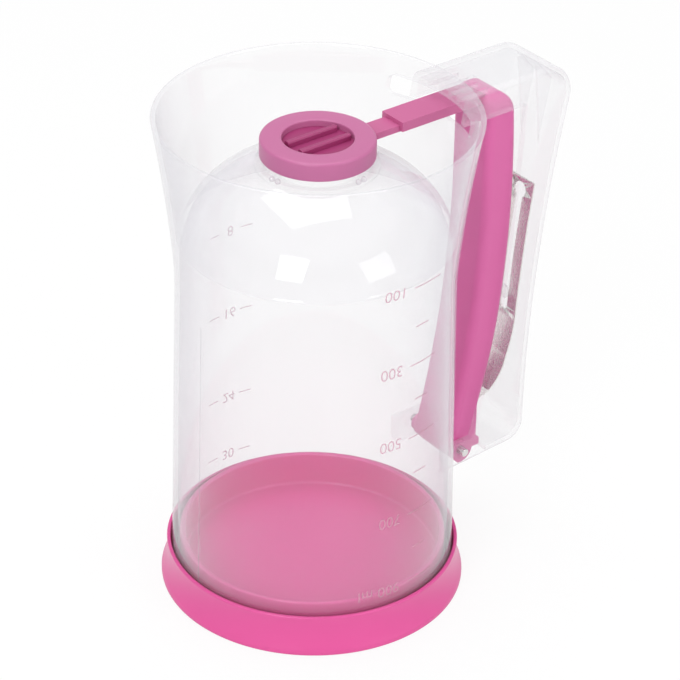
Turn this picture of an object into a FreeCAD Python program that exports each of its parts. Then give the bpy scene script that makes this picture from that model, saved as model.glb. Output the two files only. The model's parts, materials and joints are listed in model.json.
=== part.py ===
import FreeCAD, Part
import math
import os

# Batter dispenser, standing on its lid with the pouring valve on top.
# Millimetres, +Z up, origin on the axis at the bottom of the lid, handle along +X.

V = FreeCAD.Vector

# Clearances and fits
flat_gap = 0.3
press_gap = 0.02
running_gap = 0.05

# Container
wall = 1.8
jug_height = 180.0
rim_radius = 55.0
rim_round = 0.7
waist_radius = 47.5
waist_height = 122.0
skirt_sag = 0.75

# Dome and neck
seat_below_rim = 14.6
neck_tube_height = 2.1
neck_flange_depth = 3.1
neck_flange_radius = 21.0
neck_radius = 18.6
neck_bore_radius = 12.5
dome_below_flange = 31.8
dome_rise = 34.0
dome_foot = 2.6
dome_joint_radius = 30.0
bead_radius = 0.9
bead_circle_radius = 19.9
bead_pairs = 4
bead_pair_angle = 7.5
bead_first_angle = 8.0

# Lid
lid_flange_radius = 53.4
lid_flange_edge = 1.4
lid_flange_overhang = 2.1
lid_collar_height = 14.5
lid_collar_wall = 1.2
lid_flare_bow = 0.2
lid_collar_gap = 0.4
lid_foot_lap = 1.3
lid_flare_height = 6.5
lid_channel_floor = 2.4
lid_plug_gap = 0.8
lid_plug_wall = 2.0
lid_plug_height = 17.5
lid_floor_top = 5.0
lid_floor_thickness = 1.8
lid_pad_radius = 6.0
lid_edge_round = 0.6
gasket_thickness = 1.0

# Trigger, measured from its outer edge towards the container; its stand-off is from the mouth
trigger_half_width = 10.0
trigger_stand_off = 29.5
trigger_thickness = 13.2
trigger_edge_round = 3.0
trigger_crown_round = 6.5
trigger_crown_bend = 9.0
trigger_above_arm = 0.6
trigger_belly_below_top = 42.4
trigger_knee_inset = 2.8
trigger_knee_height = 87.0
trigger_shin_bulge = 1.1
trigger_ankle_inset = 13.0
trigger_ankle_height = 42.0
trigger_inner_knee_inset = 16.4
trigger_inner_knee_height = 84.0
trigger_inner_ankle_inset = 23.8
trigger_inner_ankle_height = 44.0
trigger_inner_bulge = 0.5
trigger_nib_depth = 1.6
trigger_nib_low = 30.6
trigger_nib_high = 33.4
trigger_tip_height = 25.9

# Pivot
pivot_inset = 21.7
pivot_height = 33.0
pin_radius = 1.5
pin_end_proud = 0.3
pivot_boss_radius = 3.4

# Handle
handle_side_gap = 2.0
handle_side_wall = 2.5
handle_grip_wall = 1.6
handle_top_below_rim = 4.0
handle_top_wall = 2.4
handle_floor_wall = 1.8
handle_bottom = 26.5
handle_bottom_rise = 2.5
grip_squeeze_room = 12.5
grip_middle_share = 0.612
grip_top_lean = 11.3
grip_bottom_lean = 5.4
grip_bottom_height = 38.0
handle_edge_round = 3.5
grip_top_round = 11.0
grip_bottom_round = 8.0
drain_clearance = 3.3
gusset_offset = 4.5
gusset_thickness = 1.2
gusset_depth = 10.6
gusset_height = 34.0
top_rib_count = 4
top_rib_pitch = 5.0
top_rib_thickness = 1.0
top_rib_depth = 1.6

# Finger opening through both sides of the handle
opening_below_top = 10.0
opening_top_inset = 0.4
opening_middle_inset = 3.4
opening_middle_below_top = 54.0
opening_low_inset = 9.0
opening_low_height = 70.0
opening_bottom_inset = 18.5
opening_bottom = 38.0

# Valve arm and its window in the skirt
arm_above_seat = 4.4
arm_thickness = 3.4
arm_half_width = 5.5
arm_neck_drop = 1.5
arm_neck_thickness = 2.3
arm_neck_half_width = 4.0
arm_step_reach = 31.4
arm_grip_depth = 6.0
window_gap_above = 2.6
window_gap_below = 0.7
window_half_width = 22.0
window_round = 2.0

# Valve
cap_radius = 19.4
cap_gap = 0.3
cap_height = 6.4
cap_edge_round = 1.0
cap_recess_radius = 12.0
cap_recess_depth = 3.5
cap_shoulder_radius = 10.0
insert_thickness = 1.2
insert_rib_height = 2.1
insert_rib_half_width = 1.1
insert_rib_offset = 3.7
insert_rib_end_gap = 0.8
seal_inner_radius = 13.6
seal_outer_radius = 17.4
seal_depth = 1.3

# Leaf spring
spring_width = 13.0
spring_thickness = 0.5
spring_below_top = 48.0
spring_bend_height = 78.0
spring_knee_inset = 9.4
spring_knee_height = 61.0
spring_toe_out = 6.6
spring_toe_height = 48.6
spring_nose_drop = 1.6
spring_bulge = 1.2
spring_slot_width = 3.7
spring_slot_bottom = 76.5
spring_slot_below_top = 4.6
spring_keyhole_radius = 2.9
stud_height = 84.0
stud_radius = 1.7
stud_head_radius = 2.7
stud_head_thickness = 0.9

# Values that follow from the ones above
gasket_top = lid_channel_floor + gasket_thickness
mouth_height = gasket_top
lid_collar_radius = lid_flange_radius - lid_flange_overhang
collar_inner_radius = lid_collar_radius - lid_collar_wall
mouth_radius = collar_inner_radius - lid_collar_gap
plug_outer_radius = mouth_radius - wall - flat_gap - lid_plug_gap
plug_inner_radius = plug_outer_radius - lid_plug_wall
neck_seat_height = jug_height - seat_below_rim
neck_flange_top = neck_seat_height - neck_tube_height
neck_flange_low = neck_flange_top - neck_flange_depth
dome_base_height = neck_flange_top - dome_below_flange
arm_top = neck_seat_height + arm_above_seat
arm_bottom = arm_top - arm_thickness
arm_neck_top = arm_top - arm_neck_drop
window_bottom = arm_bottom - window_gap_below
window_top = arm_top + window_gap_above
cap_bottom = neck_seat_height + cap_gap
cap_top = cap_bottom + cap_height
cap_shoulder_height = cap_top - cap_recess_depth
trigger_top = arm_top + trigger_above_arm
trigger_outer_reach = mouth_radius + trigger_stand_off
trigger_inner_reach = trigger_outer_reach - trigger_thickness
pivot_reach = trigger_outer_reach - pivot_inset
trigger_ankle_reach = trigger_outer_reach - trigger_ankle_inset
handle_hollow_half = trigger_half_width + handle_side_gap
handle_half_width = handle_hollow_half + handle_side_wall
handle_top = jug_height - handle_top_below_rim
handle_root = waist_radius - 3 * wall
trigger_belly_height = trigger_top - trigger_belly_below_top
grip_middle_height = handle_bottom + grip_middle_share * (handle_top - handle_bottom)
opening_middle_height = handle_top - opening_middle_below_top
spring_top_height = handle_top - spring_below_top
spring_slot_top = spring_top_height - spring_slot_below_top
grip_middle_reach = trigger_outer_reach + grip_squeeze_room
grip_top_reach = grip_middle_reach + grip_top_lean
grip_bottom_reach = grip_middle_reach - grip_bottom_lean


def polar(radius, angle_deg, z):
    a = math.radians(angle_deg)
    return V(radius * math.cos(a), radius * math.sin(a), z)


def line(p, q):
    return Part.LineSegment(p, q).toShape()


def arc(p, m, q):
    return Part.Arc(p, m, q).toShape()


def polygon(points):
    return [line(p, q) for p, q in zip(points, points[1:] + points[:1])]


def face_of(edges):
    return Part.Face(Part.Wire(Part.__sortEdges__(edges)))


def revolve(edges):
    return face_of(edges).revolve(V(0, 0, 0), V(0, 0, 1), 360)


def ring(outer, inner, z_low, z_high):
    body = Part.makeCylinder(outer, z_high - z_low, V(0, 0, z_low))
    return body.cut(Part.makeCylinder(inner, z_high - z_low, V(0, 0, z_low)))


def slab(edges, half_width):
    # A face drawn in the XZ plane, thickened to both sides of it.
    solid = face_of(edges).extrude(V(0, 2 * half_width, 0))
    solid.translate(V(0, -half_width, 0))
    return solid


def box(low, high):
    return Part.makeBox(high.x - low.x, high.y - low.y, high.z - low.z, low)


def at(x, z):
    return V(x, 0, z)


# Container


def wall_profile(offset, z_low, z_high):
    # Outer line of the wall, moved inwards by offset, closed to the axis.
    slope = (mouth_radius - waist_radius) / (waist_height - mouth_height)
    low = at(mouth_radius - slope * (z_low - mouth_height) - offset, z_low)
    waist = at(waist_radius - offset, waist_height)
    rim = at(rim_radius - offset, jug_height)
    middle = at((waist_radius + rim_radius) / 2 - skirt_sag - offset, (waist_height + jug_height) / 2)
    edges = [line(low, waist), arc(waist, middle, rim)]
    top = rim
    if z_high > jug_height:
        top = at(rim.x, z_high)
        edges.append(line(rim, top))
    edges.append(line(top, at(0, top.z)))
    edges.append(line(at(0, top.z), at(0, z_low)))
    edges.append(line(at(0, z_low), low))
    return edges


def outer_volume():
    return revolve(wall_profile(0, mouth_height, jug_height))


def inner_volume():
    return revolve(wall_profile(wall, mouth_height, jug_height))


def make_container():
    # One moulding in two solids, the wall and the skirt, which meet at the waist.
    shell = outer_volume().cut(inner_volume())
    rim_edges = [
        e for e in shell.Edges
        if abs(e.BoundBox.ZMin - jug_height) < 0.01 and abs(e.BoundBox.ZMax - jug_height) < 0.01
        and e.BoundBox.XLength > rim_radius
    ]
    shell = shell.makeFillet(min(rim_round, 0.4 * wall), rim_edges)
    low = V(0, -window_half_width, window_bottom)
    high = V(rim_radius + wall, window_half_width, window_top)
    window = box(low, high)
    corners = [e for e in window.Edges if e.BoundBox.XLength > rim_radius]
    shell = shell.cut(window.makeFillet(window_round, corners))
    below = Part.makeCylinder(2 * rim_radius, waist_height)
    return shell.common(below), shell.cut(below)


# Dome and neck


def dome_edges(side, rise, z_base):
    # Quarter ellipse from its foot to the crown, closed to the axis.
    curve = Part.Ellipse(at(side, z_base), at(0, z_base + rise), at(0, z_base))
    disc = Part.Face(Part.Wire([curve.toShape()]))
    top = z_base + 2 * rise
    quarter = [at(0, z_base), at(2 * side, z_base), at(2 * side, top), at(0, top)]
    return disc.common(face_of(polygon(quarter)))


def wall_inner_radius(z):
    # Radius of the wall's inner side at a height in the skirt.
    middle_z = (waist_height + jug_height) / 2
    middle_r = (waist_radius + rim_radius) / 2 - skirt_sag
    curve = Part.Arc(at(waist_radius, waist_height), at(middle_r, middle_z), at(rim_radius, jug_height))
    level = Part.LineSegment(at(0, z), at(2 * rim_radius, z))
    hit = curve.toShape().distToShape(level.toShape())[1][0][0]
    return hit.x - wall


def make_dome():
    # One moulding in two solids, the shoulder by the wall and the crown by the neck.
    side = wall_inner_radius(dome_base_height)
    outer = dome_edges(side, dome_rise, dome_base_height).revolve(V(0, 0, 0), V(0, 0, 1), 360)
    inner = dome_edges(side - wall, dome_rise - wall, dome_base_height).revolve(V(0, 0, 0), V(0, 0, 1), 360)
    foot = ring(side + wall, side - wall, dome_base_height - dome_foot, dome_base_height)
    shell = outer.cut(inner).fuse(foot).removeSplitter()
    hole = Part.makeCylinder(neck_flange_radius, dome_rise, V(0, 0, dome_base_height))
    dome = shell.cut(hole).common(inner_volume())
    middle = Part.makeCylinder(dome_joint_radius, jug_height)
    return dome.cut(middle), dome.common(middle)


def make_neck_ring():
    flange = ring(neck_flange_radius, neck_bore_radius, neck_flange_low, neck_flange_top)
    tube = ring(neck_radius, neck_bore_radius, neck_flange_top, neck_seat_height)
    neck = flange.fuse(tube)
    for pair in range(bead_pairs):
        for side in (-1, 1):
            angle = bead_first_angle + 360.0 * pair / bead_pairs + side * bead_pair_angle / 2
            centre = polar(bead_circle_radius, angle, neck_flange_top)
            bead = Part.makeSphere(bead_radius, centre)
            floor = box(V(-rim_radius, -rim_radius, neck_flange_low), V(rim_radius, rim_radius, neck_flange_top))
            neck = neck.fuse(bead.cut(floor))
    return neck.removeSplitter()


# Lid


def make_lid_foot():
    # Flat ring under the channel, which the dispenser stands on.
    return ring(collar_inner_radius, plug_outer_radius - lid_foot_lap, 0, lid_channel_floor)


def make_lid_collar():
    # Flared outer side of the channel.
    flare = arc(
        at(lid_flange_radius, lid_flange_edge),
        at(lid_collar_radius + lid_flare_bow, lid_flare_height),
        at(lid_collar_radius, lid_collar_height),
    )
    points = [
        at(lid_collar_radius, lid_collar_height),
        at(collar_inner_radius, lid_collar_height),
        at(collar_inner_radius, 0),
        at(lid_flange_radius, 0),
        at(lid_flange_radius, lid_flange_edge),
    ]
    edges = [line(p, q) for p, q in zip(points, points[1:])]
    return revolve(edges + [flare])


def make_lid_plug():
    # Upright ring inside the channel that plugs the container's mouth.
    plug = ring(plug_outer_radius, plug_inner_radius, lid_channel_floor, lid_plug_height)
    rounded = [
        e for e in plug.Edges
        if abs(e.CenterOfMass.z - lid_plug_height) < 0.01 and len(e.Vertexes) == 1
    ]
    return plug.makeFillet(min(lid_edge_round, 0.3 * lid_plug_wall), rounded)


def make_lid_floor():
    # Floor disc inside the plug ring, with a pad in the middle that reaches the table.
    disc = Part.makeCylinder(
        plug_inner_radius,
        lid_floor_thickness,
        V(0, 0, lid_floor_top - lid_floor_thickness),
    )
    return disc.fuse(Part.makeCylinder(lid_pad_radius, lid_floor_top)).removeSplitter()


def make_lid_gasket():
    return ring(
        collar_inner_radius - press_gap,
        plug_outer_radius + press_gap,
        lid_channel_floor,
        gasket_top,
    )


# Handle


def grip_curve(offset):
    # Outer line of the grip from top to bottom, moved inwards by offset.
    top = at(grip_top_reach - offset, handle_top)
    middle = at(grip_middle_reach - offset, grip_middle_height)
    low = at(grip_bottom_reach - offset, handle_bottom)
    return arc(top, middle, low)


def grip_reach(z, offset):
    # Distance of the grip's line from the axis at a height.
    level = line(at(0, z), at(2 * grip_top_reach, z))
    return grip_curve(offset).distToShape(level)[1][0][0].x


def corner_arc(start, corner, end):
    # Rounds a corner that is close to square.
    middle = corner + ((start - corner) + (end - corner)) * (1 - math.sqrt(0.5))
    return arc(start, middle, end)


def round_across(solid, corner, radius):
    # Rounds the edge that runs across the handle through a corner of its side view.
    edges = [e for e in solid.Edges if e.CenterOfMass.distanceToPoint(corner) < 0.01]
    return solid.makeFillet(radius, edges)


def handle_block(half_width, grip_offset, top_offset, floor_offset, top_round, bottom_round):
    top = handle_top - top_offset
    low = handle_bottom + handle_bottom_rise + floor_offset
    top_corner = at(grip_reach(top, grip_offset), top)
    low_corner = at(grip_reach(low, grip_offset), low)
    middle_z = (top + low) / 2
    middle = at(grip_reach(middle_z, grip_offset), middle_z)
    root_low = at(handle_root, handle_bottom + floor_offset)
    root_top = at(handle_root, top)
    side_view = [
        line(root_top, top_corner),
        arc(top_corner, middle, low_corner),
        line(low_corner, root_low),
        line(root_low, root_top),
    ]
    block = round_across(slab(side_view, half_width), top_corner, top_round)
    return round_across(block, low_corner, bottom_round)


def opening_edges():
    top = handle_top - opening_below_top
    top_left = at(handle_root, top)
    top_right = at(trigger_outer_reach - opening_top_inset, top)
    middle = at(trigger_outer_reach - opening_middle_inset, opening_middle_height)
    low = at(trigger_outer_reach - opening_low_inset, opening_low_height)
    corner = at(trigger_outer_reach - opening_bottom_inset, opening_bottom)
    bottom_left = at(handle_root, opening_bottom)
    return [
        line(top_left, top_right),
        arc(top_right, middle, low),
        line(low, corner),
        line(corner, bottom_left),
        line(bottom_left, top_left),
    ]


def make_handle_frame():
    body = handle_block(handle_half_width, 0, 0, 0, grip_top_round, grip_bottom_round)
    rounded = []
    for e in body.Edges:
        middle = e.valueAt((e.FirstParameter + e.LastParameter) / 2)
        on_side = abs(abs(middle.y) - handle_half_width) < 0.01
        if on_side and middle.x > handle_root + 0.01:
            rounded.append(e)
    body = body.makeFillet(handle_edge_round, rounded)
    hollow = handle_block(
        handle_hollow_half,
        handle_grip_wall,
        handle_top_wall,
        handle_floor_wall,
        grip_top_round - handle_top_wall,
        grip_bottom_round - handle_floor_wall,
    )
    frame = body.cut(hollow)
    frame = frame.cut(slab(opening_edges(), handle_half_width + wall))
    drain_end = trigger_ankle_reach + drain_clearance
    drain = box(V(handle_root, -handle_hollow_half, 0), V(drain_end, handle_hollow_half, pivot_height))
    frame = frame.cut(drain)
    for side in (-1, 1):
        frame = frame.fuse(make_gusset(side * gusset_offset))
    rib_top = handle_top - handle_top_wall / 2
    for i in range(top_rib_count):
        y = (i - (top_rib_count - 1) / 2.0) * top_rib_pitch
        low = V(handle_root, y - top_rib_thickness / 2, handle_top - handle_top_wall - top_rib_depth)
        high = V(trigger_inner_reach, y + top_rib_thickness / 2, rib_top)
        frame = frame.fuse(box(low, high))
    frame = frame.cut(outer_volume())
    pin_hole = Part.makeCylinder(
        pin_radius + press_gap,
        4 * handle_half_width,
        V(pivot_reach, -2 * handle_half_width, pivot_height),
        V(0, 1, 0),
    )
    return frame.cut(pin_hole).removeSplitter()


def make_gusset(y):
    # Thin triangle that braces the grip against the top bar.
    top = handle_top - handle_top_wall / 2
    low = handle_top - gusset_height
    bend = handle_top - grip_top_round
    sunk = handle_grip_wall / 2
    points = [
        at(grip_reach(top, handle_grip_wall) - gusset_depth, top),
        at(grip_reach(top, sunk) - grip_top_round, top),
        at(grip_reach(bend, sunk), bend),
        at(grip_reach(low, sunk), low),
        at(grip_reach(low, handle_grip_wall), low),
    ]
    web = slab(polygon(points), gusset_thickness / 2)
    web.translate(V(0, y, 0))
    return web


# Pivot


def make_pivot_pin():
    half = handle_half_width + pin_end_proud
    pin = Part.makeCylinder(pin_radius, 2 * half, V(pivot_reach, -half, pivot_height), V(0, 1, 0))
    ends = [e for e in pin.Edges if e.BoundBox.YLength < 0.01]
    return pin.makeChamfer(pin_end_proud / 2, ends)


# Trigger


def trigger_edges():
    # Side view of the trigger, from its crown down the outer edge and back up the inner edge.
    outer = trigger_outer_reach
    crown_left = at(trigger_inner_reach, trigger_top)
    shoulder = at(outer - 0.1 * trigger_crown_bend, trigger_top - trigger_crown_bend)
    crown_right = at(shoulder.x - trigger_crown_bend, trigger_top)
    belly = at(outer, trigger_belly_height)
    knee = at(outer - trigger_knee_inset, trigger_knee_height)
    ankle = at(trigger_ankle_reach, trigger_ankle_height)
    shin = at((knee.x + ankle.x) / 2 + trigger_shin_bulge, (knee.z + ankle.z) / 2)
    nib_top = at(ankle.x, trigger_nib_high + trigger_nib_depth)
    nib_out = at(ankle.x + trigger_nib_depth, trigger_nib_high)
    nib_low = at(ankle.x + trigger_nib_depth, trigger_nib_low)
    nib_in = at(ankle.x - trigger_nib_depth, trigger_nib_low)
    tip = at(pivot_reach + trigger_nib_depth / 2, trigger_tip_height)
    tip_bend = (nib_in + tip) * 0.5 + at(trigger_nib_depth, -trigger_nib_depth / 2)
    heel = at(outer - trigger_inner_ankle_inset - trigger_nib_depth, pivot_height - pivot_boss_radius / 2)
    inner_ankle = at(outer - trigger_inner_ankle_inset, trigger_inner_ankle_height)
    inner_knee = at(outer - trigger_inner_knee_inset, trigger_inner_knee_height)
    inner_belly = at(trigger_inner_reach, trigger_belly_height)
    bulge = at(trigger_inner_bulge, 0)
    calf = (inner_ankle + inner_knee) * 0.5 + bulge
    thigh = (inner_knee + inner_belly) * 0.5 + bulge
    return [
        line(crown_left, crown_right),
        corner_arc(crown_right, at(shoulder.x, trigger_top), shoulder),
        arc(shoulder, belly, knee),
        arc(knee, shin, ankle),
        line(ankle, nib_top),
        line(nib_top, nib_out),
        line(nib_out, nib_low),
        line(nib_low, nib_in),
        arc(nib_in, tip_bend, tip),
        line(tip, heel),
        line(heel, inner_ankle),
        arc(inner_ankle, calf, inner_knee),
        arc(inner_knee, thigh, inner_belly),
        line(inner_belly, crown_left),
    ]


def make_squeeze_trigger():
    body = slab(trigger_edges(), trigger_half_width)
    front = box(
        V(0, -trigger_half_width, 0),
        V(2 * grip_top_reach, trigger_half_width, trigger_top),
    )
    crown = [e for e in front.Edges if e.BoundBox.XLength > 1 and e.BoundBox.ZMin > trigger_top - 1]
    body = body.common(front.makeFillet(trigger_crown_round, crown))
    inner_limit = trigger_inner_reach + press_gap
    shoulder_limit = trigger_top - trigger_crown_bend + press_gap
    side_edges = []
    for e in body.Edges:
        ends = [v.Point for v in e.Vertexes]
        flat = max(p.y for p in ends) - min(p.y for p in ends) < press_gap
        above_ankle = min(p.z for p in ends) > trigger_ankle_height - press_gap
        inner_side = max(p.x for p in ends) < inner_limit
        outer_side = min(p.x for p in ends) > trigger_ankle_reach - press_gap
        below_shoulder = max(p.z for p in ends) < shoulder_limit
        if flat and above_ankle and (inner_side or (outer_side and below_shoulder)):
            side_edges.append(e)
    body = body.makeFillet(trigger_edge_round, side_edges)
    boss_half = handle_hollow_half - flat_gap
    boss = Part.makeCylinder(
        pivot_boss_radius,
        2 * boss_half,
        V(pivot_reach, -boss_half, pivot_height),
        V(0, 1, 0),
    )
    body = body.fuse(boss)
    bore = Part.makeCylinder(
        pin_radius + running_gap,
        2 * handle_half_width,
        V(pivot_reach, -handle_half_width, pivot_height),
        V(0, 1, 0),
    )
    return body.cut(bore).removeSplitter()


# Valve


def make_valve_arm(trigger):
    wide = box(
        V(arm_step_reach, -arm_half_width, arm_bottom),
        V(trigger_inner_reach + arm_grip_depth, arm_half_width, arm_top),
    )
    narrow = box(
        V(0, -arm_neck_half_width, arm_neck_top - arm_neck_thickness),
        V(arm_step_reach + arm_thickness, arm_neck_half_width, arm_neck_top),
    )
    arm = wide.fuse(narrow).removeSplitter()
    hub = Part.makeCylinder(cap_radius, cap_top, V(0, 0, 0))
    return arm.cut(hub).cut(trigger)


def make_valve_cap():
    body = Part.makeCylinder(cap_radius, cap_top - cap_bottom, V(0, 0, cap_bottom))
    recess = Part.makeCylinder(cap_recess_radius, cap_top - cap_shoulder_height, V(0, 0, cap_shoulder_height))
    through = Part.makeCylinder(cap_shoulder_radius, cap_top, V(0, 0, 0))
    body = body.cut(recess).cut(through)
    top_edges = [
        e for e in body.Edges
        if abs(e.BoundBox.ZMin - cap_top) < 0.01 and e.BoundBox.XLength > 2 * cap_shoulder_radius
    ]
    body = body.makeFillet(cap_edge_round, top_edges)
    groove_top = neck_seat_height + seal_depth + press_gap
    groove = ring(seal_outer_radius + press_gap, seal_inner_radius - press_gap, cap_bottom - 1, groove_top)
    return body.cut(groove)


def make_valve_insert():
    top = cap_shoulder_height + insert_thickness
    disc = Part.makeCylinder(cap_recess_radius - press_gap, insert_thickness, V(0, 0, cap_shoulder_height))
    for side in (-1, 1):
        y = side * insert_rib_offset
        reach = math.sqrt((cap_recess_radius - insert_rib_end_gap) ** 2 - (abs(y) + insert_rib_half_width) ** 2)
        rib = box(
            V(-reach, y - insert_rib_half_width, top),
            V(reach, y + insert_rib_half_width, top + insert_rib_height),
        )
        tops = [
            e for e in rib.Edges
            if abs(e.BoundBox.ZMin - top - insert_rib_height) < 0.01 and e.BoundBox.XLength > reach
        ]
        rib = rib.makeFillet(0.7 * insert_rib_half_width, tops)
        disc = disc.fuse(rib)
    return disc.removeSplitter()


def make_valve_seal():
    return ring(seal_outer_radius, seal_inner_radius, neck_seat_height, neck_seat_height + seal_depth)


# Leaf spring


def trigger_edge_reach(trigger, z):
    # Distance of the trigger's outer edge from the axis at a height.
    return line(at(0, z), at(2 * grip_top_reach, z)).common(trigger).BoundBox.XMax


def spring_line(offset, toe_reach):
    # Side view of one face of the band, from its top to its toe.
    inset = handle_grip_wall + press_gap + offset
    top = at(grip_reach(spring_top_height, inset), spring_top_height)
    bend = at(grip_reach(spring_bend_height, inset), spring_bend_height)
    middle_z = (spring_top_height + spring_bend_height) / 2
    middle = at(grip_reach(middle_z, inset), middle_z)
    knee = at(grip_middle_reach - spring_knee_inset - offset, spring_knee_height)
    toe = at(toe_reach - offset, spring_toe_height + offset)
    return top, middle, bend, knee, toe


def bowed(start, end, bulge):
    # Gentle arc between two points, bulging down and outwards.
    return arc(start, (start + end) * 0.5 + at(bulge, -bulge / 2), end)


def make_return_spring(trigger):
    toe_reach = trigger_edge_reach(trigger, spring_toe_height) + spring_toe_out
    top_a, mid_a, bend_a, knee_a, toe_a = spring_line(0, toe_reach)
    top_b, mid_b, bend_b, knee_b, toe_b = spring_line(spring_thickness, toe_reach)
    nose_z = spring_toe_height - spring_nose_drop
    nose_reach = trigger_edge_reach(trigger, spring_toe_height) + flat_gap
    nose_a = at(nose_reach, nose_z)
    nose_b = at(nose_reach, nose_z + spring_thickness)
    edges = [
        arc(top_a, mid_a, bend_a),
        bowed(bend_a, knee_a, spring_bulge / 2),
        bowed(knee_a, toe_a, spring_bulge),
        line(toe_a, nose_a),
        line(nose_a, nose_b),
        line(nose_b, toe_b),
        bowed(toe_b, knee_b, spring_bulge),
        bowed(knee_b, bend_b, spring_bulge / 2),
        arc(bend_b, mid_b, top_b),
        line(top_b, top_a),
    ]
    band = slab(edges, spring_width / 2)
    slot_round = spring_slot_width / 2
    slot_low = spring_slot_bottom + slot_round
    slot = box(V(handle_root, -slot_round, slot_low), V(2 * grip_top_reach, slot_round, spring_slot_top))
    for z, radius in ((slot_low, slot_round), (spring_slot_top, spring_keyhole_radius)):
        slot = slot.fuse(Part.makeCylinder(radius, 2 * grip_top_reach, V(handle_root, 0, z), V(1, 0, 0)))
    return band.cut(slot)


def make_spring_stud(frame):
    # Headed stud that holds the band against the grip; its foot is cut to the grip's curve.
    base = grip_reach(stud_height, handle_grip_wall / 2)
    shank_length = handle_grip_wall / 2 + spring_thickness + flat_gap
    start = V(base, 0, stud_height)
    shank = Part.makeCylinder(stud_radius, shank_length, start, V(-1, 0, 0))
    head_start = start - V(shank_length, 0, 0)
    head = Part.makeCylinder(stud_head_radius, stud_head_thickness, head_start, V(-1, 0, 0))
    outer_edge = [e for e in head.Edges if abs(e.CenterOfMass.x - head_start.x + stud_head_thickness) < 0.01]
    head = head.makeChamfer(stud_head_thickness / 3, outer_edge)
    return shank.fuse(head).cut(frame).removeSplitter()


def main():
    os.makedirs("parts", exist_ok=True)
    trigger = make_squeeze_trigger()
    frame = make_handle_frame()
    container_wall, container_skirt = make_container()
    dome_shoulder, dome_crown = make_dome()
    shapes = {
        "lid_foot": make_lid_foot(),
        "lid_collar": make_lid_collar(),
        "lid_plug": make_lid_plug(),
        "lid_floor": make_lid_floor(),
        "lid_gasket": make_lid_gasket(),
        "container_wall": container_wall,
        "container_skirt": container_skirt,
        "dome_shoulder": dome_shoulder,
        "dome_crown": dome_crown,
        "neck_ring": make_neck_ring(),
        "handle_frame": frame,
        "pivot_pin": make_pivot_pin(),
        "squeeze_trigger": trigger,
        "valve_arm": make_valve_arm(trigger),
        "valve_cap": make_valve_cap(),
        "valve_insert": make_valve_insert(),
        "valve_seal": make_valve_seal(),
        "return_spring": make_return_spring(trigger),
        "spring_stud": make_spring_stud(frame),
    }
    for node, shape in shapes.items():
        print(node, "solids", len(shape.Solids), "valid", shape.isValid(), "volume", round(shape.Volume))
        shape.exportStep("parts/" + node + ".step")


main()
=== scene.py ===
import json
import math

import bpy
from mathutils import Matrix, Vector

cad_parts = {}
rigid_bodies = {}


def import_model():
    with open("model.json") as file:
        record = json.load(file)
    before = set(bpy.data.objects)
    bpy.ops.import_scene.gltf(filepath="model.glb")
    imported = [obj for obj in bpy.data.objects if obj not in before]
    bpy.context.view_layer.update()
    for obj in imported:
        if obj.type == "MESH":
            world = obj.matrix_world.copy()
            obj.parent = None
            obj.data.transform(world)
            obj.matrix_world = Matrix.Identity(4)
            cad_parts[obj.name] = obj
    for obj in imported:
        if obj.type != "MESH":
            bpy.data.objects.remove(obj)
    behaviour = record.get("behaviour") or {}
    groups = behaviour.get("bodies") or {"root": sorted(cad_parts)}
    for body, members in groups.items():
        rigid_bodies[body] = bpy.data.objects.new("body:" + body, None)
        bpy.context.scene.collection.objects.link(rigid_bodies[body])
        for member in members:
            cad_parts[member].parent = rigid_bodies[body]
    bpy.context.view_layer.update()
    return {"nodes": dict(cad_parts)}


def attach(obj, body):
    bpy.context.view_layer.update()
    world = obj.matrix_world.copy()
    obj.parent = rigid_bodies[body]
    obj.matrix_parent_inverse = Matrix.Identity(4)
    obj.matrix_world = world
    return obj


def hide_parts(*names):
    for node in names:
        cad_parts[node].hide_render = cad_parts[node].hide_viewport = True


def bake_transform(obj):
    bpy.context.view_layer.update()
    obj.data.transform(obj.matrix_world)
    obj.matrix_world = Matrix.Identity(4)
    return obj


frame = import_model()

MM = 0.001


# Sizes of the clear container, in millimetres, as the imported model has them

wall = 1.8
jug_height = 180.0
rim_radius = 55.0
waist_radius = 47.5
waist_height = 122.0
skirt_sag = 0.75
mouth_radius = 49.7
mouth_height = 3.4
dome_base_height = 131.5
dome_rise = 34.0
neck_flange_radius = 21.0
neck_flange_top = 163.3
neck_flange_low = 160.2
neck_radius = 18.6
neck_bore_radius = 12.5
neck_seat_height = 165.4
waist_easing = 6.0
edge_margin = 0.7
rim_rounding = 0.75 * edge_margin
mouth_rounding = 0.6 * edge_margin
window_low = 165.7
window_high = 172.4
window_half_width = 22.0
window_corner = 2.0
window_cut_middle = 50.0
window_cut_depth = 30.0

# Sizes of the lid

lid_flange_radius = 53.4
lid_flange_height = 1.4
lid_foot_bore = 45.5
lid_collar_radius = 51.3
lid_collar_top = 14.5
lid_collar_edge = 0.5
lid_flare_middle = (51.5, 6.5)
lid_channel_radius = 50.1
lid_channel_floor = 2.4
lid_plug_radius = 46.8
lid_plug_top = 17.5
lid_cup_radius = 44.8
lid_floor_top = 5.0
lid_floor_low = 3.2
lid_hub_radius = 6.0

# Sizes of the valve head and of the beads on the neck, with angles in degrees

cap_radius = 19.4
cap_top = 172.1
cap_low = 165.7
cap_recess_radius = 12.0
cap_recess_floor = 168.6
cap_hole_radius = 10.0
seal_groove_inner = 13.58
seal_groove_outer = 17.42
seal_groove_top = 166.72
bead_pairs = 4
bead_pair_turn = 90.0
bead_first_angle = 8.0
bead_half_gap = 3.75
bead_ring_radius = 19.9
bead_height = 163.45
bead_radius = 1.0

# Print and parting line on the wall, with angles in degrees

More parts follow.
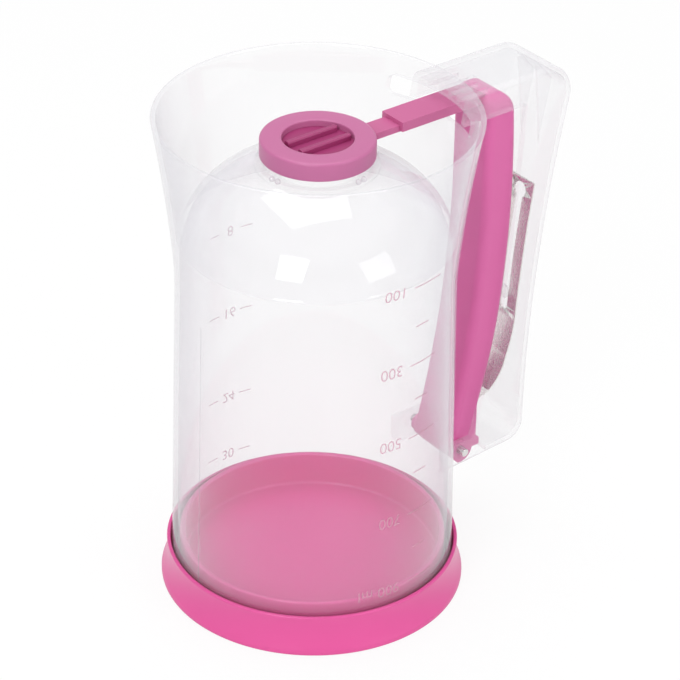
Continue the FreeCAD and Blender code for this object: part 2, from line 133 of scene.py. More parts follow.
print_lift = 0.03
ml_heights = [136.8, 120.7, 106.4, 92.8, 78.3, 63.7, 47.9, 33.4, 20.1]
ml_long_tick = (-87.0, -72.0)
ml_short_tick = (-84.0, -77.0)
ml_tick_width = 0.45
ml_number_angle = -90.5
ml_number_size = 5.9
oz_heights = [(8, 115.5), (16, 82.0), (24, 46.5), (30, 21.7)]
oz_near_tick = (80.0, 85.5)
oz_far_tick = (96.5, 102.0)
oz_tick_width = 0.4
oz_number_angle = 91.0
oz_number_size = 5.6
parting_angle = 180.0
parting_middle = 62.0
parting_length = 108.0
parting_width = 0.5
parting_lift = 0.06

# Fineness of the round forms

lathe_steps = 192
wall_steps = 56
inner_skirt_steps = 26
inner_wall_steps = 40
skirt_arc_steps = 60
dome_steps = 40
inner_dome_steps = 34
flare_steps = 14


# Small helpers


def deselect_all():
    bpy.ops.object.select_all(action="DESELECT")


def make_active(piece):
    deselect_all()
    piece.select_set(True)
    bpy.context.view_layer.objects.active = piece


def edit_mode():
    bpy.ops.object.mode_set(mode="EDIT")


def object_mode():
    bpy.ops.object.mode_set(mode="OBJECT")


def apply_place(piece):
    make_active(piece)
    bpy.ops.object.transform_apply(location=True, rotation=True, scale=True)


def apply_modifier(piece, kind, name, **settings):
    make_active(piece)
    modifier = piece.modifiers.new(name, kind)
    for key, value in settings.items():
        setattr(modifier, key, value)
    bpy.ops.object.modifier_apply(modifier=modifier.name)


def smooth(piece, degrees):
    make_active(piece)
    bpy.ops.object.shade_smooth_by_angle(angle=math.radians(degrees))


def single_vertex(name, place):
    # A plane merged to one point, from which an outline is drawn.
    deselect_all()
    bpy.ops.mesh.primitive_plane_add(size=0.002, location=(0, 0, 0))
    piece = bpy.context.object
    piece.name = name
    piece.data.name = name
    edit_mode()
    bpy.ops.mesh.select_all(action="SELECT")
    bpy.ops.mesh.merge(type="CENTER")
    bpy.ops.transform.translate(value=place)
    return piece


def draw_outline(places):
    # Extrudes the selected point from place to place.
    here = places[0]
    for place in places[1:]:
        step = Vector(place) - Vector(here)
        bpy.ops.mesh.extrude_region_move(TRANSFORM_OT_translate={"value": step})
        here = place


def lathe(name, profile):
    # Spins a closed profile of (radius, height) in millimetres about the axis.
    places = [(r * MM, 0, z * MM) for r, z in profile]
    piece = single_vertex(name, places[0])
    draw_outline(places + [places[0]])
    bpy.ops.mesh.select_all(action="SELECT")
    bpy.ops.mesh.remove_doubles(threshold=1e-6)
    bpy.ops.mesh.select_all(action="SELECT")
    bpy.ops.mesh.spin(steps=lathe_steps, angle=2 * math.pi, center=(0, 0, 0), axis=(0, 0, 1))
    bpy.ops.mesh.select_all(action="SELECT")
    bpy.ops.mesh.remove_doubles(threshold=2e-6)
    bpy.ops.mesh.normals_make_consistent(inside=False)
    object_mode()
    return piece


def arc_points(start, middle, end, count):
    # Points on the circle through three points, without the first one.
    (ax, ay), (bx, by), (cx, cy) = start, middle, end
    d = 2 * (ax * (by - cy) + bx * (cy - ay) + cx * (ay - by))
    a2, b2, c2 = ax * ax + ay * ay, bx * bx + by * by, cx * cx + cy * cy
    ux = (a2 * (by - cy) + b2 * (cy - ay) + c2 * (ay - by)) / d
    uy = (a2 * (cx - bx) + b2 * (ax - cx) + c2 * (bx - ax)) / d
    radius = math.hypot(ax - ux, ay - uy)
    first = math.atan2(ay - uy, ax - ux)
    mid_turn = (math.atan2(by - uy, bx - ux) - first + math.pi) % (2 * math.pi) - math.pi
    last_turn = (math.atan2(cy - uy, cx - ux) - first + math.pi) % (2 * math.pi) - math.pi
    if mid_turn * last_turn < 0:
        last_turn += math.copysign(2 * math.pi, mid_turn)
    points = []
    for i in range(1, count + 1):
        angle = first + last_turn * i / count
        points.append((ux + radius * math.cos(angle), uy + radius * math.sin(angle)))
    return points


def rounded(previous, corner, following, radius, count=4):
    # Replaces a corner of a profile by a small curve.
    p, c, f = Vector(previous), Vector(corner), Vector(following)
    a = c + (p - c).normalized() * radius
    b = c + (f - c).normalized() * radius
    points = []
    for i in range(count + 1):
        t = i / count
        points.append(tuple((1 - t) ** 2 * a + 2 * t * (1 - t) * c + t * t * b))
    return points


def round_profile(profile, radii):
    # Rounds corners of a closed profile; radii gives a radius for a corner's place in it.
    result = []
    count = len(profile)
    for i, corner in enumerate(profile):
        radius = radii.get(i, 0)
        if radius:
            result.extend(rounded(profile[i - 1], corner, profile[(i + 1) % count], radius))
        else:
            result.append(corner)
    return result


# Materials


def new_group(name, inputs, outputs):
    group = bpy.data.node_groups.new(name, "ShaderNodeTree")
    for label, kind, value in inputs:
        socket = group.interface.new_socket(name=label, in_out="INPUT", socket_type=kind)
        socket.default_value = value
    for label, kind in outputs:
        group.interface.new_socket(name=label, in_out="OUTPUT", socket_type=kind)
    entry = group.nodes.new("NodeGroupInput")
    leave = group.nodes.new("NodeGroupOutput")
    return group, entry, leave


def add_noise(nodes, scale, detail):
    noise = nodes.new("ShaderNodeTexNoise")
    noise.inputs["Scale"].default_value = scale
    noise.inputs["Detail"].default_value = detail
    return noise


def add_math(nodes, operation):
    node = nodes.new("ShaderNodeMath")
    node.operation = operation
    return node


def make_moulded_group():
    # Fine moulded texture with faint drifts of colour and gloss.
    group, entry, leave = new_group(
        "moulded_plastic",
        [
            ("Color", "NodeSocketColor", (0.6, 0.1, 0.3, 1)),
            ("Shade", "NodeSocketColor", (0.5, 0.08, 0.25, 1)),
            ("Roughness", "NodeSocketFloat", 0.35),
            ("Grain", "NodeSocketFloat", 0.1),
        ],
        [
            ("Color", "NodeSocketColor"),
            ("Roughness", "NodeSocketFloat"),
            ("Normal", "NodeSocketVector"),
        ],
    )
    nodes, links = group.nodes, group.links
    coord = nodes.new("ShaderNodeTexCoord")
    drift = add_noise(nodes, 28.0, 2.0)
    grain = add_noise(nodes, 2600.0, 3.0)
    for texture in (drift, grain):
        links.new(coord.outputs["Object"], texture.inputs["Vector"])
    mix = nodes.new("ShaderNodeMix")
    mix.data_type = "RGBA"
    links.new(drift.outputs["Fac"], mix.inputs["Factor"])
    links.new(entry.outputs["Color"], mix.inputs["A"])
    links.new(entry.outputs["Shade"], mix.inputs["B"])
    spread = add_math(nodes, "MULTIPLY_ADD")
    spread.inputs[1].default_value = 0.08
    links.new(drift.outputs["Fac"], spread.inputs[0])
    links.new(entry.outputs["Roughness"], spread.inputs[2])
    bump = nodes.new("ShaderNodeBump")
    bump.inputs["Distance"].default_value = 0.00004
    links.new(entry.outputs["Grain"], bump.inputs["Strength"])
    links.new(grain.outputs["Fac"], bump.inputs["Height"])
    links.new(mix.outputs["Result"], leave.inputs["Color"])
    links.new(spread.outputs[0], leave.inputs["Roughness"])
    links.new(bump.outputs["Normal"], leave.inputs["Normal"])
    return group


def make_clear_group():
    # Slow waves and faint scuffs of a clear moulding.
    group, entry, leave = new_group(
        "clear_moulding",
        [
            ("Roughness", "NodeSocketFloat", 0.02),
            ("Wave", "NodeSocketFloat", 0.2),
        ],
        [("Roughness", "NodeSocketFloat"), ("Normal", "NodeSocketVector")],
    )
    nodes, links = group.nodes, group.links
    coord = nodes.new("ShaderNodeTexCoord")
    stretch = nodes.new("ShaderNodeMapping")
    stretch.inputs["Scale"].default_value = (1.0, 1.0, 0.35)
    waves = add_noise(nodes, 45.0, 1.0)
    scuff = add_noise(nodes, 160.0, 4.0)
    links.new(coord.outputs["Object"], stretch.inputs["Vector"])
    links.new(stretch.outputs["Vector"], waves.inputs["Vector"])
    links.new(coord.outputs["Object"], scuff.inputs["Vector"])
    spread = add_math(nodes, "MULTIPLY_ADD")
    spread.inputs[1].default_value = 0.03
    links.new(scuff.outputs["Fac"], spread.inputs[0])
    links.new(entry.outputs["Roughness"], spread.inputs[2])
    bump = nodes.new("ShaderNodeBump")
    bump.inputs["Distance"].default_value = 0.0004
    links.new(entry.outputs["Wave"], bump.inputs["Strength"])
    links.new(waves.outputs["Fac"], bump.inputs["Height"])
    links.new(spread.outputs[0], leave.inputs["Roughness"])
    links.new(bump.outputs["Normal"], leave.inputs["Normal"])
    return group


moulded_group = make_moulded_group()
clear_group = make_clear_group()


def start_material(name):
    material = bpy.data.materials.new(name)
    material.use_nodes = True
    nodes = material.node_tree.nodes
    shader = nodes["Principled BSDF"]
    return material, nodes, material.node_tree.links, shader


def pink_plastic(name, color, shade, roughness, grain, coat=0.0):
    material, nodes, links, shader = start_material(name)
    group = nodes.new("ShaderNodeGroup")
    group.node_tree = moulded_group
    group.inputs["Color"].default_value = (*color, 1)
    group.inputs["Shade"].default_value = (*shade, 1)
    group.inputs["Roughness"].default_value = roughness
    group.inputs["Grain"].default_value = grain
    links.new(group.outputs["Color"], shader.inputs["Base Color"])
    links.new(group.outputs["Roughness"], shader.inputs["Roughness"])
    links.new(group.outputs["Normal"], shader.inputs["Normal"])
    shader.inputs["IOR"].default_value = 1.49
    shader.inputs["Coat Weight"].default_value = coat
    shader.inputs["Coat Roughness"].default_value = 0.15
    return material


def clear_plastic(name, color, face_cover, edge_cover, wave):
    # Clear plastic: nearly open face on, pale where the surface turns away, and glossy all over.
    material, nodes, links, shader = start_material(name)
    group = nodes.new("ShaderNodeGroup")
    group.node_tree = clear_group
    group.inputs["Roughness"].default_value = 0.02
    group.inputs["Wave"].default_value = wave
    links.new(group.outputs["Roughness"], shader.inputs["Roughness"])
    links.new(group.outputs["Normal"], shader.inputs["Normal"])
    shader.inputs["Base Color"].default_value = (*color, 1)
    edge = nodes.new("ShaderNodeLayerWeight")
    edge.inputs["Blend"].default_value = 0.45
    bend = add_math(nodes, "POWER")
    bend.inputs[1].default_value = 2.2
    links.new(edge.outputs["Facing"], bend.inputs[0])
    cover = nodes.new("ShaderNodeMapRange")
    cover.inputs["To Min"].default_value = face_cover
    cover.inputs["To Max"].default_value = edge_cover
    links.new(bend.outputs[0], cover.inputs["Value"])
    links.new(cover.outputs["Result"], shader.inputs["Alpha"])
    steep = add_math(nodes, "POWER")
    steep.inputs[1].default_value = 4.0
    links.new(edge.outputs["Facing"], steep.inputs[0])
    sheen = nodes.new("ShaderNodeMapRange")
    sheen.inputs["To Min"].default_value = 0.045
    sheen.inputs["To Max"].default_value = 0.40
    links.new(steep.outputs[0], sheen.inputs["Value"])
    surface = nodes.new("ShaderNodeNewGeometry")
    front = add_math(nodes, "SUBTRACT")
    front.inputs[0].default_value = 1.0
    links.new(surface.outputs["Backfacing"], front.inputs[1])
    reflect = add_math(nodes, "MULTIPLY")
    links.new(sheen.outputs["Result"], reflect.inputs[0])
    links.new(front.outputs[0], reflect.inputs[1])
    mirror = nodes.new("ShaderNodeBsdfGlossy")
    mirror.inputs["Roughness"].default_value = 0.03
    links.new(group.outputs["Normal"], mirror.inputs["Normal"])
    mix = nodes.new("ShaderNodeMixShader")
    links.new(reflect.outputs[0], mix.inputs[0])
    links.new(shader.outputs[0], mix.inputs[1])
    links.new(mirror.outputs[0], mix.inputs[2])
    links.new(mix.outputs[0], nodes["Material Output"].inputs["Surface"])
    return material


def rolled_steel(name, color, roughness, streak_axis):
    material, nodes, links, shader = start_material(name)
    coord = nodes.new("ShaderNodeTexCoord")
    stretch = nodes.new("ShaderNodeMapping")
    scale = [900.0, 900.0, 900.0]
    scale[streak_axis] = 12.0
    stretch.inputs["Scale"].default_value = scale
    streaks = add_noise(nodes, 3.0, 3.0)
    links.new(coord.outputs["Object"], stretch.inputs["Vector"])
    links.new(stretch.outputs["Vector"], streaks.inputs["Vector"])
    spread = add_math(nodes, "MULTIPLY_ADD")
    spread.inputs[1].default_value = 0.14
    spread.inputs[2].default_value = roughness
    links.new(streaks.outputs["Fac"], spread.inputs[0])
    ramp = nodes.new("ShaderNodeValToRGB")
    ramp.color_ramp.elements[0].color = (*[0.82 * c for c in color], 1)
    ramp.color_ramp.elements[1].color = (*color, 1)
    links.new(streaks.outputs["Fac"], ramp.inputs["Fac"])
    bump = nodes.new("ShaderNodeBump")
    bump.inputs["Distance"].default_value = 0.00002
    bump.inputs["Strength"].default_value = 0.25
    links.new(streaks.outputs["Fac"], bump.inputs["Height"])
    links.new(ramp.outputs["Color"], shader.inputs["Base Color"])
    links.new(spread.outputs[0], shader.inputs["Roughness"])
    links.new(bump.outputs["Normal"], shader.inputs["Normal"])
    shader.inputs["Metallic"].default_value = 1.0
    return material


def soft_silicone(name, color):
    material = pink_plastic(name, color, tuple(0.9 * c for c in color), 0.45, 0.2)
    shader = material.node_tree.nodes["Principled BSDF"]
    shader.inputs["Subsurface Weight"].default_value = 0.3
    shader.inputs["Subsurface Radius"].default_value = (0.002, 0.002, 0.002)
    return material


def print_ink(name, color, alpha):
    # Screen print, a little uneven where the ink lies thin.
    material, nodes, links, shader = start_material(name)
    coord = nodes.new("ShaderNodeTexCoord")
    speckle = add_noise(nodes, 1400.0, 2.0)
    links.new(coord.outputs["Object"], speckle.inputs["Vector"])
    cover = nodes.new("ShaderNodeMapRange")
    cover.inputs["From Min"].default_value = 0.3
    cover.inputs["From Max"].default_value = 0.7
    cover.inputs["To Min"].default_value = 0.8 * alpha
    cover.inputs["To Max"].default_value = alpha
    links.new(speckle.outputs["Fac"], cover.inputs["Value"])
    links.new(cover.outputs["Result"], shader.inputs["Alpha"])
    shader.inputs["Base Color"].default_value = (*color, 1)
    shader.inputs["Roughness"].default_value = 0.5
    return material


pink_lid = pink_plastic(
    "pink_lid", (0.70, 0.075, 0.30), (0.66, 0.065, 0.28), roughness=0.30, grain=0.10, coat=0.15
)
pink_trigger = pink_plastic(
    "pink_trigger", (0.66, 0.125, 0.355), (0.62, 0.11, 0.325), roughness=0.38, grain=0.15
)
pink_arm = pink_plastic(
    "pink_arm", (0.51, 0.11, 0.265), (0.48, 0.10, 0.25), roughness=0.36, grain=0.15
)
pink_cap = pink_plastic(
    "pink_cap", (0.48, 0.13, 0.285), (0.45, 0.12, 0.27), roughness=0.34, grain=0.15
)
pink_insert = pink_plastic(
    "pink_insert", (0.34, 0.04, 0.15), (0.30, 0.03, 0.13), roughness=0.30, grain=0.15
)
clear_jug = clear_plastic(
    "clear_jug", (0.74, 0.73, 0.78), face_cover=0.045, edge_cover=0.66, wave=0.08
)
clear_handle = clear_plastic(
    "clear_handle", (0.76, 0.76, 0.80), face_cover=0.035, edge_cover=0.62, wave=0.12
)
spring_steel = rolled_steel("spring_steel", (0.90, 0.87, 0.84), roughness=0.20, streak_axis=2)
pin_steel = rolled_steel("pin_steel", (0.80, 0.79, 0.78), roughness=0.20, streak_axis=1)
silicone = soft_silicone("silicone", (0.80, 0.80, 0.81))
clear_bead = clear_plastic(
    "clear_bead", (0.72, 0.66, 0.72), face_cover=0.20, edge_cover=0.80, wave=0.0
)
clear_line = clear_plastic(
    "clear_line", (0.60, 0.60, 0.63), face_cover=0.25, edge_cover=0.50, wave=0.0
)
scale_ink = print_ink("scale_ink", (0.56, 0.30, 0.38), alpha=0.72)


def paint(piece, material):
    piece.data.materials.clear()
    piece.data.materials.append(material)


# Clear container, one moulding with its dome and neck


def wall_radius(z):
    # Outer radius of the wall at a height, straight below the waist and on an arc above it.
    slope = (mouth_radius - waist_radius) / (waist_height - mouth_height)
    straight = mouth_radius - slope * (z - mouth_height)
    waist = (waist_radius, waist_height)
    middle = ((waist_radius + rim_radius) / 2 - skirt_sag, (waist_height + jug_height) / 2)
    curve = [waist] + arc_points(waist, middle, (rim_radius, jug_height), skirt_arc_steps)
    if z <= waist_height:
        return straight
    for (r0, z0), (r1, z1) in zip(curve, curve[1:]):
        if z0 <= z <= z1:
            return r0 + (r1 - r0) * (z - z0) / (z1 - z0)
    return rim_radius


def eased_radius(z):
    # Mean of the outer radius over a short stretch, which rounds the waist.
    reach = min(waist_easing, z - mouth_height, jug_height - z)
    samples = [wall_radius(z + reach * k / 4) for k in range(-4, 5)]
    return sum(samples) / len(samples)


def inner_radius(z):
    return eased_radius(z) - wall


def heights(low, high, count):
    return [low + (high - low) * i / count for i in range(count + 1)]


def ellipse_points(side, rise, base, from_angle, to_angle, count):
    points = []
    for i in range(count + 1):
        a = math.radians(from_angle + (to_angle - from_angle) * i / count)
        points.append((side * math.cos(a), base + rise * math.sin(a)))
    return points


def jug_profile():
    # Up the outside, over the rim, down to the dome, round the neck, and back on the inside.
    lowest, highest = mouth_height + edge_margin, jug_height - edge_margin
    outer = [(eased_radius(z), z) for z in heights(lowest, highest, wall_steps)]
    rim_out = (rim_radius, jug_height)
    rim_in = (rim_radius - wall, jug_height)
    rim_below = jug_height - 6
    profile = list(outer)
    profile += rounded(outer[-1], rim_out, rim_in, rim_rounding)
    profile += rounded(rim_out, rim_in, (inner_radius(rim_below), rim_below), rim_rounding)

    side = inner_radius(dome_base_height)
    dome_from = 7.0
    dome_to = math.degrees(math.acos(neck_flange_radius / side))
    dome = ellipse_points(side, dome_rise, dome_base_height, dome_from, dome_to, dome_steps)
    join_height = dome[0][1]
    skirt_inside = heights(jug_height - 3, join_height + 3.0, inner_skirt_steps)
    profile += [(inner_radius(z), z) for z in skirt_inside]
    join = (inner_radius(join_height), join_height - 0.8)
    profile += rounded(profile[-1], join, dome[2], 2.2, 6)
    profile += dome[3:-1]

    neck = [
        (neck_flange_radius, dome[-1][1]),
        (neck_flange_radius, neck_flange_top),
        (neck_radius, neck_flange_top),
        (neck_radius, neck_seat_height),
        (neck_bore_radius, neck_seat_height),
        (neck_bore_radius, neck_flange_low),
        (neck_flange_radius, neck_flange_low),
    ]
    profile.append(neck[0])
    for i, radius in enumerate((0.5, 0.3, 0.4, 0.4, 0.6), 1):
        profile += rounded(neck[i - 1], neck[i], neck[i + 1], radius, 3)

    inner_side = side - wall
    inner_rise = dome_rise - wall
    inner_from = math.degrees(math.acos(neck_flange_radius / inner_side))
    inner_to = 14.0
    profile += ellipse_points(
        inner_side, inner_rise, dome_base_height, inner_from, inner_to, inner_dome_steps
    )
    foot = dome_base_height - 2.6
    corner = (inner_radius(foot + 4) - 1.2, dome_base_height + 2.0)
    profile += rounded(profile[-1], corner, (inner_radius(foot), foot - 4), 2.5, 6)
    wall_inside = heights(foot - 5, lowest, inner_wall_steps)
    profile += [(inner_radius(z), z) for z in wall_inside]

    mouth_in = (mouth_radius - wall, mouth_height)
    mouth_out = (mouth_radius, mouth_height)
    profile += rounded(profile[-1], mouth_in, mouth_out, mouth_rounding)
    profile += rounded(mouth_in, mouth_out, outer[0], mouth_rounding)[:-1]
    return profile


def cut_window(shell):
    # Window in the skirt that the valve arm passes through.
    middle = (window_cut_middle * MM, 0, (window_low + window_high) / 2 * MM)
    height = window_high - window_low
    deselect_all()
    bpy.ops.mesh.primitive_cube_add(size=1, location=middle)
    cutter = bpy.context.object
    cutter.name = "window_cutter"
    cutter.scale = (window_cut_depth * MM, 2 * window_half_width * MM, height * MM)
    apply_place(cutter)
    make_active(cutter)
    edit_mode()
    bpy.ops.mesh.select_all(action="SELECT")
    object_mode()
    for edge in cutter.data.edges:
        a, b = (cutter.data.vertices[i].co for i in edge.vertices)
        edge.select = abs(a.x - b.x) > 0.01
    for face in cutter.data.polygons:
        face.select = False
    edit_mode()
    bpy.context.tool_settings.mesh_select_mode = (False, True, False)
    bpy.ops.mesh.bevel(offset=window_corner * MM, segments=5, affect="EDGES")
    object_mode()
    bpy.context.tool_settings.mesh_select_mode = (True, False, False)
    apply_modifier(
        shell, "BOOLEAN", "window", operation="DIFFERENCE", object=cutter, solver="EXACT"
    )
    bpy.data.objects.remove(cutter)


def make_jug():
    shell = lathe("jug_shell", jug_profile())
    cut_window(shell)
    smooth(shell, 30)
    paint(shell, clear_jug)
    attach(shell, "jug")
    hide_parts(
        "container_wall", "container_skirt", "dome_shoulder", "dome_crown", "neck_ring"
    )


# Lid


def make_lid():
    profile = [
        (lid_collar_radius, lid_collar_top),
        (lid_channel_radius, lid_collar_top),
        (lid_channel_radius, lid_channel_floor),
        (lid_plug_radius, lid_channel_floor),
        (lid_plug_radius, lid_plug_top),
        (lid_cup_radius, lid_plug_top),
        (lid_cup_radius, lid_floor_top),
        (0.0, lid_floor_top),
        (0.0, 0.0),
        (lid_hub_radius, 0.0),
        (lid_hub_radius, lid_floor_low),
        (lid_foot_bore, lid_floor_low),
        (lid_foot_bore, 0.0),
        (lid_flange_radius, 0.0),
        (lid_flange_radius, lid_flange_height),
    ]
    radii = {0: lid_collar_edge, 1: 0.35, 4: 0.8, 5: 0.8, 6: 1.2, 9: 0.4, 12: 0.4, 13: 0.5}
    corners = round_profile(profile, radii)
    flare_top = (lid_collar_radius, lid_collar_top - lid_collar_edge)
    flare = arc_points(profile[-1], lid_flare_middle, flare_top, flare_steps)
    lid = lathe("lid_cup", corners + flare[:-1])
    smooth(lid, 35)
    paint(lid, pink_lid)
    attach(lid, "lid")
    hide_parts("lid_foot", "lid_collar", "lid_plug", "lid_floor")


# Valve head and neck beads


def make_cap():
    profile = [
        (cap_radius, cap_top),
        (cap_recess_radius, cap_top),
        (cap_recess_radius, cap_recess_floor),
        (cap_hole_radius, cap_recess_floor),
        (cap_hole_radius, cap_low),
        (seal_groove_inner, cap_low),
        (seal_groove_inner, seal_groove_top),
        (seal_groove_outer, seal_groove_top),
        (seal_groove_outer, cap_low),
        (cap_radius, cap_low),
    ]
    cap = lathe("cap_head", round_profile(profile, {0: 1.1, 1: 0.55, 3: 0.3, 9: 0.35}))
    smooth(cap, 50)
    paint(cap, pink_cap)
    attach(cap, "lever")
    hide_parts("valve_cap")


def make_beads():
    beads = []
    ring = bead_ring_radius * MM
    for pair in range(bead_pairs):
        for side in (-1, 1):
            angle = math.radians(bead_first_angle + bead_pair_turn * pair + side * bead_half_gap)
            place = (ring * math.cos(angle), ring * math.sin(angle), bead_height * MM)
            deselect_all()
            bpy.ops.mesh.primitive_uv_sphere_add(
                segments=20, ring_count=12, radius=bead_radius * MM, location=place
            )
            bead = bpy.context.object
            apply_place(bead)
            beads.append(bead)
    make_active(beads[0])
    for bead in beads:
        bead.select_set(True)
    bpy.ops.object.join()
    beads[0].name = "neck_beads"
    smooth(beads[0], 80)
    paint(beads[0], clear_bead)
    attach(beads[0], "jug")


# Printed scales, wrapped on the outside of the wall


def wrap_on_wall(piece, angle, height, lift):
    # Lays a flat piece on the wall upside down, its own X running towards decreasing angles.
    for vertex in piece.data.vertices:
        z = height - vertex.co.y / MM
        radius = eased_radius(z) + lift
        turn = math.radians(angle) - vertex.co.x / MM / radius
        vertex.co = (radius * math.cos(turn) * MM, radius * math.sin(turn) * MM, z * MM)


def add_tick(angles, height, thickness):
    low_angle, high_angle = angles
    deselect_all()
    width = math.radians(high_angle - low_angle) * eased_radius(height) * MM
    bpy.ops.mesh.primitive_grid_add(x_subdivisions=10, y_subdivisions=1, size=1, location=(0, 0, 0))
    tick = bpy.context.object
    tick.scale = (width, thickness * MM, 1)
    apply_place(tick)
    wrap_on_wall(tick, (low_angle + high_angle) / 2, height, print_lift)
    return tick


def add_text(words, angle, height, size, align):
    deselect_all()
    bpy.ops.object.text_add(location=(0, 0, 0))
    text = bpy.context.object
    text.data.body = words
    text.data.size = size * MM
    text.data.align_x = align
    text.data.align_y = "CENTER"
    bpy.ops.object.convert(target="MESH")
    text = bpy.context.object
    wrap_on_wall(text, angle, height, print_lift)
    return text


def join_print(name, parts):
    make_active(parts[0])
    for part in parts:
        part.select_set(True)
    bpy.ops.object.join()
    parts[0].name = name
    paint(parts[0], scale_ink)
    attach(parts[0], "jug")


def make_scales():
    # Only the odd hundreds of millilitres carry a number.
    marks = []
    for i, height in enumerate(ml_heights):
        if i % 2:
            marks.append(add_tick(ml_short_tick, height, ml_tick_width))
            continue
        marks.append(add_tick(ml_long_tick, height, ml_tick_width))
        words = str(100 * (i + 1)) + (" ml" if height == ml_heights[-1] else "")
        marks.append(add_text(words, ml_number_angle, height, ml_number_size, "LEFT"))
    join_print("millilitre_scale", marks)
    marks = []
    for ounces, height in oz_heights:
        marks.append(add_tick(oz_near_tick, height, oz_tick_width))
        marks.append(add_text(str(ounces), oz_number_angle, height, oz_number_size, "CENTER"))
        marks.append(add_tick(oz_far_tick, height, oz_tick_width))
    join_print("ounce_scale", marks)


def make_parting_line():
    deselect_all()
    bpy.ops.mesh.primitive_grid_add(x_subdivisions=2, y_subdivisions=60, size=1, location=(0, 0, 0))
    ridge = bpy.context.object
    ridge.name = "parting_line"
    ridge.scale = (parting_width * MM, parting_length * MM, 1)
    apply_place(ridge)
    wrap_on_wall(ridge, parting_angle, parting_middle, parting_lift)
    smooth(ridge, 60)
    paint(ridge, clear_line)
    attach(ridge, "jug")


# Spring between the grip and the trigger, a copy of the model's spring band


def make_spring():
    node = frame["nodes"]["return_spring"]
    make_active(node)
    bpy.ops.object.duplicate()
    spring = bpy.context.object
    spring.name = "spring_band"
    bpy.ops.object.parent_clear(type="CLEAR_KEEP_TRANSFORM")
    for key in list(spring.keys()):
        del spring[key]
    edit_mode()
    bpy.ops.mesh.select_all(action="SELECT")
    bpy.ops.mesh.remove_doubles(threshold=1e-6)
    object_mode()
    smooth(spring, 30)
    paint(spring, spring_steel)
    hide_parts("return_spring")
    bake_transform(spring)


# Carried-over nodes


def dress_nodes():
    nodes = frame["nodes"]
    looks = {
        "handle_frame": clear_handle,
        "spring_stud": clear_handle,
        "squeeze_trigger": pink_trigger,
        "valve_arm": pink_arm,
        "valve_insert": pink_insert,
        "valve_seal": silicone,
        "lid_gasket": silicone,
        "pivot_pin": pin_steel,
    }
    for node, material in looks.items():
        paint(nodes[node], material)


# Studio


def make_floor():
    deselect_all()
    bpy.ops.mesh.primitive_plane_add(size=6.0, location=(0, 0, -0.0002))
    floor = bpy.context.object
    floor.name = "studio_floor"
    material = bpy.data.materials.new("white_floor")
    material.use_nodes = True
    nodes, links = material.node_tree.nodes, material.node_tree.links
    nodes.clear()
    diffuse = nodes.new("ShaderNodeBsdfDiffuse")
    diffuse.inputs["Color"].default_value = (0.85, 0.85, 0.85, 1)
    white = nodes.new("ShaderNodeEmission")
    white.inputs["Color"].default_value = (1, 1, 1, 1)
    path = nodes.new("ShaderNodeLightPath")
    seen = add_math(nodes, "MAXIMUM")
    shown = add_math(nodes, "MAXIMUM")
    links.new(path.outputs["Is Camera Ray"], seen.inputs[0])
    links.new(path.outputs["Is Glossy Ray"], seen.inputs[1])
    links.new(seen.outputs[0], shown.inputs[0])
    links.new(path.outputs["Is Transmission Ray"], shown.inputs[1])
    share = add_math(nodes, "MULTIPLY")
    share.inputs[1].default_value = 0.88
    links.new(shown.outputs[0], share.inputs[0])
    mix = nodes.new("ShaderNodeMixShader")
    out = nodes.new("ShaderNodeOutputMaterial")
    links.new(share.outputs[0], mix.inputs[0])
    links.new(diffuse.outputs[0], mix.inputs[1])
    links.new(white.outputs[0], mix.inputs[2])
    links.new(mix.outputs[0], out.inputs["Surface"])
    floor.data.materials.append(material)


def make_world():
    world = bpy.data.worlds.new("studio")
    bpy.context.scene.world = world
    world.use_nodes = True
    nodes, links = world.node_tree.nodes, world.node_tree.links
    nodes.clear()
    path = nodes.new("ShaderNodeLightPath")
    seen = add_math(nodes, "MAXIMUM")
    links.new(path.outputs["Is Camera Ray"], seen.inputs[0])
    links.new(path.outputs["Is Transmission Ray"], seen.inputs[1])
    coord = nodes.new("ShaderNodeTexCoord")
    split = nodes.new("ShaderNodeSeparateXYZ")
    links.new(coord.outputs["Generated"], split.inputs[0])
    ramp = nodes.new("ShaderNodeValToRGB")
    ramp.color_ramp.interpolation = "EASE"
    elements = ramp.color_ramp.elements
    elements[0].position = 0.0
    elements[0].color = (1, 1, 1, 1)
    elements[1].position = 1.0
    elements[1].color = (0.95, 0.95, 0.97, 1)
    for position, value in ((0.22, 1.0), (0.42, 0.45), (0.60, 0.55), (0.78, 1.0)):
        element = elements.new(position)
        element.color = (value, value, 1.02 * value, 1)
    links.new(split.outputs["Z"], ramp.inputs["Fac"])
    light = nodes.new("ShaderNodeBackground")
    light.inputs["Color"].default_value = (1, 1, 1, 1)
    light.inputs["Strength"].default_value = 0.62
    mirror = nodes.new("ShaderNodeBackground")
    links.new(ramp.outputs["Color"], mirror.inputs["Color"])
    mirror.inputs["Strength"].default_value = 1.0
    white = nodes.new("ShaderNodeBackground")
    white.inputs["Color"].default_value = (1, 1, 1, 1)
    white.inputs["Strength"].default_value = 1.0
    first = nodes.new("ShaderNodeMixShader")
    links.new(path.outputs["Is Glossy Ray"], first.inputs[0])
    links.new(light.outputs[0], first.inputs[1])
    links.new(mirror.outputs[0], first.inputs[2])
    second = nodes.new("ShaderNodeMixShader")
    links.new(seen.outputs[0], second.inputs[0])
    links.new(first.outputs[0], second.inputs[1])
    links.new(white.outputs[0], second.inputs[2])
    out = nodes.new("ShaderNodeOutputWorld")
    links.new(second.outputs[0], out.inputs["Surface"])


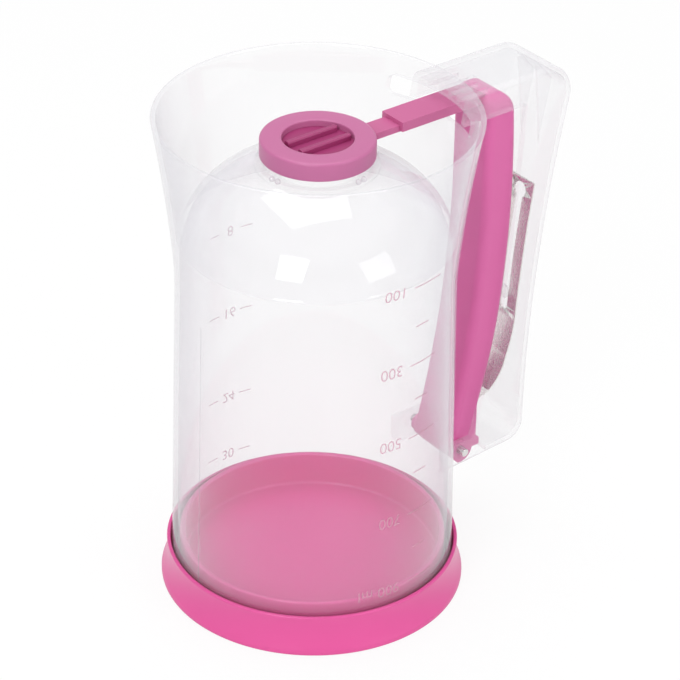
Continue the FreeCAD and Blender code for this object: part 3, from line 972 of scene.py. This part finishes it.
def add_softbox(name, place, target, size, power):
    data = bpy.data.lights.new(name, "AREA")
    data.shape = "RECTANGLE"
    data.size, data.size_y = size
    data.energy = power
    lamp = bpy.data.objects.new(name, data)
    bpy.context.scene.collection.objects.link(lamp)
    lamp.location = place
    lamp.rotation_mode = "QUATERNION"
    lamp.rotation_quaternion = (Vector(target) - Vector(place)).to_track_quat("-Z", "Y")


def make_lights():
    centre = (0.02, 0, 0.09)
    add_softbox("key_left", (-0.95, -0.55, 0.85), centre, size=(0.5, 0.7), power=7.0)
    add_softbox("fill_right", (0.35, -1.15, 0.65), centre, size=(0.6, 0.6), power=4.0)
    add_softbox("top", (0.1, 0.25, 1.2), centre, size=(0.8, 0.8), power=6.0)


# Camera, fitted to the circles of the rim, the collar and the lid

handle_angle = math.radians(38.0)
camera_back = 0.88825
camera_up = 0.63778
camera_yaw = math.radians(0.550)
camera_pitch = math.radians(31.464)
camera_roll = math.radians(1.139)
camera_focal_px = 3056.1
frame_px = 680.0
sensor_mm = 36.0


def make_camera():
    forward = Vector((
        math.sin(camera_yaw) * math.cos(camera_pitch),
        math.cos(camera_yaw) * math.cos(camera_pitch),
        -math.sin(camera_pitch),
    ))
    right = Vector((math.cos(camera_yaw), -math.sin(camera_yaw), 0))
    up = right.cross(forward)
    tilted_right = math.cos(camera_roll) * right + math.sin(camera_roll) * up
    tilted_up = -math.sin(camera_roll) * right + math.cos(camera_roll) * up
    turn = Matrix.Rotation(-handle_angle, 3, "Z")
    place = turn @ Vector((0, -camera_back, camera_up))
    columns = [turn @ tilted_right, turn @ tilted_up, turn @ -forward]
    matrix = Matrix(columns).transposed().to_4x4()
    matrix.translation = place
    data = bpy.data.cameras.new("photo_camera")
    data.sensor_width = sensor_mm
    data.lens = camera_focal_px * sensor_mm / frame_px
    data.clip_start = 0.01
    data.clip_end = 20.0
    camera = bpy.data.objects.new("photo_camera", data)
    bpy.context.scene.collection.objects.link(camera)
    camera.matrix_world = matrix
    bpy.context.scene.camera = camera


bpy.context.scene.view_settings.view_transform = "Standard"
bpy.context.scene.cycles.transparent_max_bounces = 48
make_camera()
make_jug()
make_lid()
make_cap()
make_beads()
make_scales()
make_parting_line()
make_spring()
dress_nodes()
make_floor()
make_world()
make_lights()
